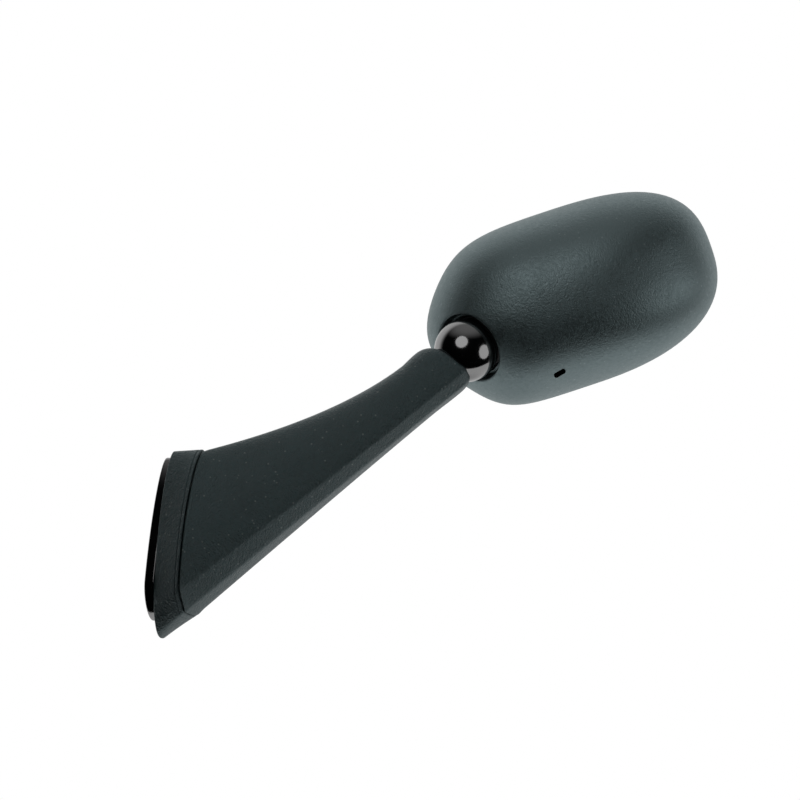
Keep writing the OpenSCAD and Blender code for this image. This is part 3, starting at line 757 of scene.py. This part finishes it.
def base_ring(turn, x, inset):
    """A ring of the base: x in mm from the mounting face."""
    return lerp(edge_ring(turn, inset), seam_ring(turn, inset), (x - PAD_T) / BASE_H)


def base_profile():
    """Steps of the base's wall from the pad to the seam: rolled ends, and a fine groove that sets off the lip."""
    r = 0.6
    steps = [(PAD_T + r * (1 - math.cos(f)), r * (1 - math.sin(f))) for f in QUARTER]
    steps += [(x, 0.0) for x in np.linspace(PAD_T + 1.5, SEAM_X - 3.2, 14)]
    steps += [(SEAM_X - 2.6, 0.0), (SEAM_X - 2.45, 0.05), (SEAM_X - 2.3, 0.3), (SEAM_X - 2.0, 0.3),
              (SEAM_X - 1.85, 0.05), (SEAM_X - 1.7, 0.0), (SEAM_X - 1.1, 0.0)]
    return steps + [(SEAM_X - r * (1 - math.sin(f)), r * (1 - math.cos(f))) for f in QUARTER]


class MIRROR_OT_base(Operator):
    """The hollow base casting with its bosses and lip, and the glossy pad under it"""

    bl_idname = "mirror.base"
    bl_label = "Base and pad"

    def execute(self, context):
        turn = round_turn(180)
        rings = [base_ring(turn, x, (inset + BASE_IN) * MM) for x, inset in base_profile()]
        casting = from_grid("base_casing", np.stack(rings), cap_ends=True)
        room = [base_ring(turn, x, BASE_WALL) for x in (PAD_T - 1.8, PAD_T + 6, SEAM_X - BASE_FLOOR)]
        hollow = from_grid("base_hollow", np.stack(room), cap_ends=True)
        carve(hollow, rod(PIVOT_BOSS, PAD_T + 1, FAR), block((PAD_T + 4, -1, -90), (FAR, 1, 90)),
              *[moved(rod(SLEEVE_BOSS, PAD_T + 1, FAR), z=z) for z in SCREW_Z])
        carve(casting, hollow, rod(SPRING_WELL, -1, SEAM_X - BASE_FLOOR), rod(BUSH_BORE, 0, FAR),
              *[moved(rod(SLEEVE_BORE, -1, SLEEVE_LENGTH), z=z) for z in SCREW_Z],
              *[moved(rod(SLEEVE_HEAD, -1, SLEEVE_HEAD_LENGTH), z=z) for z in SCREW_Z])
        settle(casting, "base_casting", angle=28)

        face_r, edge_r = 0.9, 0.4
        steps = [(face_r * (1 - math.cos(f)), face_r * 0.75 * (1 - math.sin(f))) for f in QUARTER]
        steps += [(x, 0.0) for x in (1.8, 3.2, 4.6)]
        steps += [(PAD_T - edge_r * (1 - math.sin(f)), edge_r * (1 - math.cos(f))) for f in QUARTER]
        pad = from_grid("pad_moulding", np.stack([pad_ring(turn, x, i * MM) for x, i in steps]), cap_ends=True)
        spigot = [edge_ring(turn, 0.0048, x) for x in (PAD_T - 1, PAD_T + 2)]
        joined(pad, from_grid("pad_spigot", np.stack(spigot), cap_ends=True), "UNION")
        room = 0.25                # round each boss of the base
        carve(pad, rod(PAD_HOLE, -1, FAR), rod(PIVOT_BOSS + room, PAD_T, FAR),
              *[moved(rod(SLEEVE_HEAD, -1, FAR), z=z) for z in SCREW_Z],
              *[moved(rod(SLEEVE_BOSS + room, PAD_T, FAR), z=z) for z in SCREW_Z])
        settle(pad, "fairing_pad", angle=28)
        return {"FINISHED"}


def upper_edge(t):
    """The blade's hollow upper edge, from 0 at the foot to 1 at the waist."""
    span = np.linalg.norm(WAIST_HIGH - FOOT_HIGH)
    a, b = FOOT_HIGH, FOOT_HIGH + BEND * span * 0.34
    c, d = WAIST_HIGH - NECK * span * 0.3, WAIST_HIGH
    return (1 - t) ** 3 * a + 3 * (1 - t) ** 2 * t * b + 3 * (1 - t) * t**2 * c + t**3 * d


def lower_edge(t):
    """The blade's straight lower edge, from 0 at the foot to 1 at the waist."""
    return lerp(FOOT_LOW, WAIST_LOW, t)


def station(place):
    """The neck's station at a place from 0, the waist, to 1, the ball, on a smooth curve through all."""
    last = len(STATIONS) - 1
    place = np.clip(place, 0, 1) * last
    i = np.clip(place.astype(int), 0, last - 1)
    f = (place - i)[:, None]
    a, b, c, d = [STATIONS[np.clip(i + k, 0, last)] for k in (-1, 0, 1, 2)]
    return b + 0.5 * f * (c - a + f * (2 * a - 5 * b + 4 * c - d + f * (3 * (b - c) + d - a)))


def arm_ring(t, turn, inset=0.0):
    """The arm's points at turns round it: t runs from 0 at the foot to 1 at the waist, and on to 2 at the ball."""
    t = np.broadcast_to(np.asarray(t, float), turn.shape)
    b = np.clip(t, 0, 1)
    c = b[:, None]
    blade = section(lower_edge(c), upper_edge(c), lerp(REAR, NECK_REAR, c), lerp(FOOT_HALF, NECK_HALF, b),
                    lerp(FOOT_SHARE, 0.5, b), lerp(FOOT_SHAPE, NECK_SHAPE, c), turn, inset)
    s = station(t - 1)
    far, wide = s[:, :2] * MM, s[:, 2:4] * MM
    neck_low = BALL_AT - far[:, 1:] * NECK - wide[:, 1:] * NECK_UP
    neck_high = BALL_AT - far[:, :1] * NECK + wide[:, :1] * NECK_UP
    neck = section(neck_low, neck_high,
                   np.broadcast_to(NECK_REAR, (len(t), 3)), NECK_HALF * s[:, 4], 0.5,
                   np.broadcast_to(NECK_SHAPE, (len(t), 2)), turn, inset)
    return np.where((t <= 1)[:, None], blade, neck)


def arm_grid(columns=180):
    """Rings of the arm's skin, from its rolled foot to the dish that its neck holds the ball in."""
    turn = round_turn(columns)
    dish = sizes().ball + 0.0001
    # each column runs on until it meets the dish
    low, end = np.full(columns, 1.0), np.full(columns, 2.0)
    for _ in range(26):
        mid = (low + end) / 2
        outside = np.linalg.norm(arm_ring(mid, turn) - BALL_AT, axis=1) > dish + 0.0005
        low, end = np.where(outside, mid, low), np.where(outside, end, mid)
    r = 0.0006
    rings = []
    for f in QUARTER:
        ring = arm_ring(0.0, turn, r * (1 - math.sin(f)))
        ring[:, 0] += r * (1 - math.cos(f))
        rings.append(ring)
    for t in np.concatenate([np.linspace(0.012, 0.6, 38), np.linspace(0.612, 1.0, 60)]):
        # every column keeps its own pace, so that the last ring lies along the dish's edge
        rings.append(arm_ring(t * end, turn))
    last = rings[-1] - BALL_AT
    way = unit(last)
    axis = np.broadcast_to(-NECK, way.shape)
    inner = dish * turned_towards(way, axis, 0.03)
    for t in (0.25, 0.5, 0.75, 1.0):
        rings.append(BALL_AT + (1 - t) ** 2 * last + 2 * t * (1 - t) * way * (dish + 0.0001) + t**2 * inner)
    rings += [BALL_AT + dish * turned_towards(way, axis, t) for t in np.linspace(0.1, 0.97, 14)]
    return np.stack(rings)


COVER_FROM, COVER_TO, PART_ANGLE = 0.12, 0.88, 28
COVER_GAP = 0.00025                   # along the parting line
COVER_SCREWS = (0.22, 0.52, 0.82)     # the screws' places along the blade
SCREW_CLEAR, SCREW_SINK, SINK_DEPTH = 1.85, 3.4, 1.6     # mm, holes by radius
ARM_WALL = 0.003


def across_blade(t):
    """At a place along the blade: its lowest point, its way up, its width, its way back and its half thickness."""
    low, high = lower_edge(t), upper_edge(t)
    up, rear = unit(high - low), lerp(REAR, NECK_REAR, t)
    return low, up, np.linalg.norm(high - low), unit(rear - (rear @ up) * up), lerp(FOOT_HALF, NECK_HALF, t)


def cover_space(gap):
    """All that lies behind the flat parting line of the rear cover; gap in metres."""
    fan = np.radians(np.arange(0, 181, 20))
    rings = []
    for t in np.linspace(COVER_FROM + gap * 5, COVER_TO - gap * 5, 25):
        low, up, width, back, half = across_blade(t)
        share = lerp(FOOT_SHARE, 0.5, t)
        reach = np.where(np.cos(fan) >= 0, width * (1 - share), width * share) + 0.008 - gap
        depth = half * math.sin(math.radians(PART_ANGLE)) + gap + (half + 0.006) * np.maximum(0, np.sin(fan))
        rings.append(low + up * (width * share + reach * np.cos(fan))[:, None] + back * depth[:, None])
    return from_grid("cover_space", np.stack(rings), cap_ends=True)


def arm_hollow():
    """The room inside the blade."""
    turn = round_turn(120)
    rings = [arm_ring(t, turn, ARM_WALL) for t in np.linspace(0.065, 0.93, 30)]
    return from_grid("arm_hollow", np.stack(rings), cap_ends=True)


def at_cover_screw(piece, t):
    """Stands a piece that was made along X on the rear face, at a place along the blade."""
    low, up, width, back, half = across_blade(t)
    return placed(piece, low + up * width * lerp(FOOT_SHARE, 0.5, t), back)


def cover_bores():
    """The screws' holes in the cover, each with a sink for the head."""
    for t in COVER_SCREWS:
        half = lerp(FOOT_HALF, NECK_HALF, t) / MM
        yield at_cover_screw(rod(SCREW_CLEAR, 0, FAR), t)
        yield at_cover_screw(rod(SCREW_SINK, half - SINK_DEPTH, FAR), t)


class MIRROR_OT_arm(Operator):
    """The hollow flared arm with its dished ball seat, and the cover that closes it from behind"""

    bl_idname = "mirror.arm"
    bl_label = "Arm and rear cover"

    def execute(self, context):
        grid = arm_grid()
        cover = from_grid("rear_cover", grid, cap_ends=True)
        joined(cover, cover_space(COVER_GAP), "INTERSECT")
        carve(cover, arm_hollow(), *cover_bores())
        settle(cover, "arm_rear_cover", angle=28)
        body = from_grid("arm_shell", grid, cap_ends=True)
        stud_bore = placed(rod(STUD_BORE, -26, 0), BALL_AT, STUD)
        carve(body, arm_hollow(), cover_space(0.0), rod(BOLT_BORE, 0, FOOT_X + 5), stud_bore)
        settle(body, "arm_body", angle=28)
        return {"FINISHED"}


class MIRROR_OT_ball(Operator):
    """The polished ball, bored for its stud"""

    bl_idname = "mirror.ball"
    bl_label = "Ball"

    def execute(self, context):
        set_apart()
        bpy.ops.mesh.primitive_uv_sphere_add(segments=144, ring_count=72, radius=sizes().ball)
        piece = bpy.context.object
        piece.name = "ball_polished"
        piece.data.transform(Matrix.Rotation(math.pi / 2, 4, "Y"))
        carve(piece, rod(STUD_BORE, -30, 30))
        placed(piece, BALL_AT, STUD)
        settle(piece, "ball", angle=40)
        return {"FINISHED"}


# Fasteners and springs


WASHER_AT, WASHER_T = 8.0, 1.6     # mm from the mounting face, and thickness


def threaded(start, end, radius, pitch, depth):
    """A profile's zigzag along a thread, from start to end, in mm."""
    count = max(1, round(abs(end - start) / pitch))
    step = (end - start) / count
    return [p for i in range(count)
            for p in ((start + i * step, radius), (start + (i + 0.5) * step, radius - depth))]


def hexagon_nut(name, corner, start, height, bore):
    """A nut along X with turned corners, a countersunk bore and a flat seat."""
    nut = rod(corner, start, start + height, sides=6)
    nut.name = name
    end = start + height
    drum = turned("drum", [(start - 0.01, 0), (start - 0.01, corner * 0.88), (start + 0.9, corner * 1.02),
                           (end - 0.9, corner * 1.02), (end + 0.01, corner * 0.88), (end + 0.01, 0)])
    joined(nut, drum, "INTERSECT")
    sink = turned("sink", [(start - 0.5, 0), (start - 0.5, bore + 1.0), (start + 0.6, bore), (end - 0.6, bore),
                           (end + 0.5, bore + 1.0), (end + 0.5, 0)])
    return carve(nut, sink)


def round_washer(name, start, thick, inner, outer):
    """A washer along X with its edges broken."""
    c, end = 0.2, start + thick
    return turned(name, [(start, inner + c), (start, outer - c), (start + c, outer), (end - c, outer),
                         (end, outer - c), (end, inner + c), (end - c, inner), (start + c, inner)])


def pan_screw():
    """A cross-recessed screw along X with its head's seat at 0."""
    screw = turned("screw", [
        (-10.5, 0), (-10.5, 0.9), (-10.1, 1.25), *threaded(-10.0, -1.0, 1.25, 0.6, 0.16), (0, 1.25),
        (0, 3.0), (0.1, 3.1), (0.75, 3.1), (1.15, 2.85), (1.36, 2.2), (1.4, 1.2), (1.4, 0)], 48)
    return carve(screw, block((0.5, -0.35, -1.6), (3, 0.35, 1.6)), block((0.5, -1.6, -0.35), (3, 1.6, 0.35)))


class MIRROR_OT_fasteners(Operator):
    """Threaded sleeves, the pivot's bolt, nut and washer, and the three cover screws"""

    bl_idname = "mirror.fasteners"
    bl_label = "Fasteners"

    def execute(self, context):
        for number, z in enumerate(SCREW_Z, 1):
            sleeve = turned(f"threaded_sleeve_{number}", [
                (0.3, 2.5), (0, 2.8), (0, 4.0), (0.3, 4.3), (6.4, 4.3), (6.7, 4.0), (6.7, 3.9),
                (16.6, 3.9), (17, 3.5), (17, 2.8),
                *threaded(16.7, 0.7, 2.5, 1.0, -0.3)])
            settle(moved(sleeve, z=z), "mounting_sleeves")
        bolt = turned("pivot_bolt_turned", [
            (1.2, 0), (1.2, 3.3), (1.8, 4.0), *threaded(1.9, 8.0, 4.0, 1.0, 0.35), (8.2, 3.95), (28.8, 4.0),
            (28.8, 6.3), (29.1, 6.6), (31.2, 6.6), (32.4, 5.0), (32.4, 2.9), (29.9, 2.6), (29.9, 0)])
        settle(bolt, "pivot_bolt")
        settle(hexagon_nut("pivot_nut_turned", 7.28, 2.0, WASHER_AT - 2.0, BOLT_BORE), "pivot_nut")
        settle(round_washer("pivot_washer_turned", WASHER_AT, WASHER_T, BOLT_BORE, 10.2), "pivot_washer")
        first = pan_screw()
        for number, t in enumerate(COVER_SCREWS, 1):
            screw = first.copy()
            screw.data = first.data.copy()
            screw.name = f"cover_screw_{number}"
            context.scene.collection.objects.link(screw)
            half = lerp(FOOT_HALF, NECK_HALF, t) / MM
            at_cover_screw(moved(screw, x=half - SINK_DEPTH), t)
            settle(screw, "cover_screws")
        bpy.data.objects.remove(first)
        return {"FINISHED"}


def coil(name, mid_r, wire, length, turns, start):
    """A coil of round wire along X whose end turns lie flat, in mm."""
    sides, steps = 20, 48
    count = turns * steps
    i = np.arange(count + 1)
    share = np.clip((i - steps / 2) / (count - steps), 0, 1)
    along = wire / 2 + (length - wire) * share
    lap, around = 2 * math.pi * i / steps, round_turn(sides)
    r = mid_r + wire / 2 * np.cos(around)[None, :]
    x = start + along[:, None] + wire / 2 * np.sin(around)[None, :]
    y, z = r * np.cos(lap)[:, None], r * np.sin(lap)[:, None]
    return from_grid(name, np.stack([x, y, z], -1) * MM, cap_ends=True)


class MIRROR_OT_springs(Operator):
    """The pivot's spring and the ball's spring"""

    bl_idname = "mirror.springs"
    bl_label = "Springs"

    def execute(self, context):
        start, flange = WASHER_AT + WASHER_T, 1.2
        pivot = coil("pivot_spring_wire", 8.0, 2.4, SEAM_X - BASE_FLOOR - flange - start, 3, start)
        settle(pivot, "pivot_spring")
        cup_r, seat_r = 26.3, 6.9      # where the ball's spring stands on its round cup
        start = math.sqrt(cup_r**2 - seat_r**2)
        ball = placed(coil("ball_spring_wire", 4.2, 1.4, 5.0, 3, start), BALL_AT, STUD)
        settle(ball, "ball_spring")
        return {"FINISHED"}


class MIRROR_OT_finishes(Operator):
    """Finishes for the pieces that keep their own shape"""

    bl_idname = "mirror.finishes"
    bl_label = "Finishes"

    def execute(self, context):
        for part in frame["record"]["subparts"]:
            dress(frame["nodes"][part["node"]], part["node"])
        return {"FINISHED"}


# Stage


CAMERA_TURN = math.radians(25)
ACROSS = np.array([math.cos(CAMERA_TURN), math.sin(CAMERA_TURN), 0])
DEEPER = np.array([-math.sin(CAMERA_TURN), math.cos(CAMERA_TURN), 0])
UP = np.array([0.0, 0.0, 1.0])
LOOK_AT = np.array([0.1118, 0.0853, 0.0828])
CAMERA_AWAY = 2.5
LENS = 196.0
# directions that the surroundings are white in: where the white begins, where it is full, and its strength
WHITES = ((DEEPER, 0.1, 0.55, 1.0), (UP, 0.6, 1.0, 0.35))
FLOOR_R, FLOOR_Z, FLOOR_BACK = 0.90, -0.26, 0.78
SHADOW_BACK, SHADOW_R, CLEAR_R = 0.24, 0.08, 0.35     # where the floor keeps the object's shadow


def lamp(name, towards, away, radius, watts):
    """A round soft lamp that faces the ball."""
    set_apart()
    place = BALL_AT + unit(towards) * away
    bpy.ops.object.light_add(type="AREA", location=place.tolist())
    made = bpy.context.object
    made.name = name
    made.data.shape = "DISK"
    made.data.size = radius * 2
    made.data.energy = watts
    made.rotation_mode = "QUATERNION"
    made.rotation_quaternion = Vector((BALL_AT - place).tolist()).to_track_quat("-Z", "Y")


def white_world():
    """Surroundings that are white behind, dimmer above and dark in front, and all white to the camera."""
    world = bpy.data.worlds.new("studio")
    bpy.context.scene.world = world
    world.use_nodes = True
    w = Nodes(world.node_tree)
    outwards = w.node("ShaderNodeTexCoord", {}, out="Generated")
    strength = w.node("ShaderNodeLightPath", {}, out="Is Camera Ray")
    for way, start, full, most in WHITES:
        along = w.node("ShaderNodeVectorMath", {"operation": "DOT_PRODUCT"}, outwards, way.tolist(), out="Value")
        strength = strength.or_more(along.clamped(start, full) * most)
    back = w.tree.nodes["Background"]
    w.plug((1, 1, 1, 1), back.inputs["Color"])
    w.plug(strength, back.inputs["Strength"])


def pale_floor():
    """A round matt floor below and behind; seen or mirrored, it fades into the white away from the shadow."""
    set_apart()
    bpy.ops.mesh.primitive_circle_add(vertices=96, radius=FLOOR_R, fill_type="NGON", location=(0, 0, 0))
    floor = bpy.context.object
    floor.name = "floor"
    below, behind = Vector((0.13, 0.09, FLOOR_Z)), Vector(DEEPER.tolist())
    floor.data.transform(Matrix.Translation(below + behind * FLOOR_BACK))
    f = Finish("floor")
    f.set(base_color=(0.9, 0.9, 0.9, 1), roughness=0.8)
    away = f.node("ShaderNodeVectorMath", {"operation": "DISTANCE"}, f.coords, below + behind * SHADOW_BACK,
                  out="Value")
    fade = away.clamped(SHADOW_R, CLEAR_R) * 0.45 + 0.55
    seen = 0.0
    for kind in ("Is Camera Ray", "Is Glossy Ray", "Is Transmission Ray"):
        seen = seen + f.node("ShaderNodeLightPath", {}, out=kind)
    glow = f.node("ShaderNodeEmission", {})
    matt = Socket(f, f.shader.outputs["BSDF"])
    surface = f.node("ShaderNodeMixShader", {}, (fade * seen).clamped(0.0, 1.0), matt, glow)
    f.plug(surface, f.tree.nodes["Material Output"].inputs["Surface"])
    floor.data.materials.append(f.material)


class MIRROR_OT_stage(Operator):
    """White floor and surroundings, two round soft lamps and the camera"""

    bl_idname = "mirror.stage"
    bl_label = "Stage"

    def execute(self, context):
        scene = context.scene
        scene.view_settings.view_transform = "Standard"
        pale_floor()
        white_world()
        lamp("key_lamp", -0.288 * ACROSS + 0.494 * UP - 0.820 * DEEPER, 1.3, 0.50, 3.4)
        lamp("side_lamp", 0.919 * ACROSS - 0.087 * UP - 0.384 * DEEPER, 1.2, 0.46, 2.6)
        bpy.ops.object.camera_add(location=(LOOK_AT - DEEPER * CAMERA_AWAY).tolist())
        camera = context.object
        camera.data.lens = LENS
        camera.data.sensor_width = 36.0
        camera.rotation_euler = (math.radians(90), 0, CAMERA_TURN)
        camera.data.clip_end = 60
        scene.camera = camera
        return {"FINISHED"}


class MIRROR_PT_panel(Panel):
    """Lists the steps that dress the mirror"""

    bl_idname = "MIRROR_PT_panel"
    bl_label = "Fairing mirror"
    bl_space_type = "VIEW_3D"
    bl_region_type = "UI"
    bl_category = "Mirror"

    def draw(self, context):
        for step in STEPS:
            self.layout.operator(step.bl_idname)


STEPS = (MIRROR_OT_stage, MIRROR_OT_finishes, MIRROR_OT_base, MIRROR_OT_fasteners, MIRROR_OT_springs, MIRROR_OT_arm,
         MIRROR_OT_ball, MIRROR_OT_housing, MIRROR_OT_glass)
CLASSES = (MirrorSizes, MirrorColours, *STEPS, MIRROR_PT_panel)


def register():
    for each in CLASSES:
        bpy.utils.register_class(each)
    bpy.types.Scene.mirror_sizes = PointerProperty(type=MirrorSizes)
    bpy.types.Scene.mirror_colours = PointerProperty(type=MirrorColours)


def unregister():
    del bpy.types.Scene.mirror_sizes
    del bpy.types.Scene.mirror_colours
    for each in reversed(CLASSES):
        bpy.utils.unregister_class(each)


def main():
    """Dresses the mirror."""
    register()
    for step in STEPS:
        group, name = step.bl_idname.split(".")
        getattr(getattr(bpy.ops, group), name)()


if __name__ == "__main__":
    main()
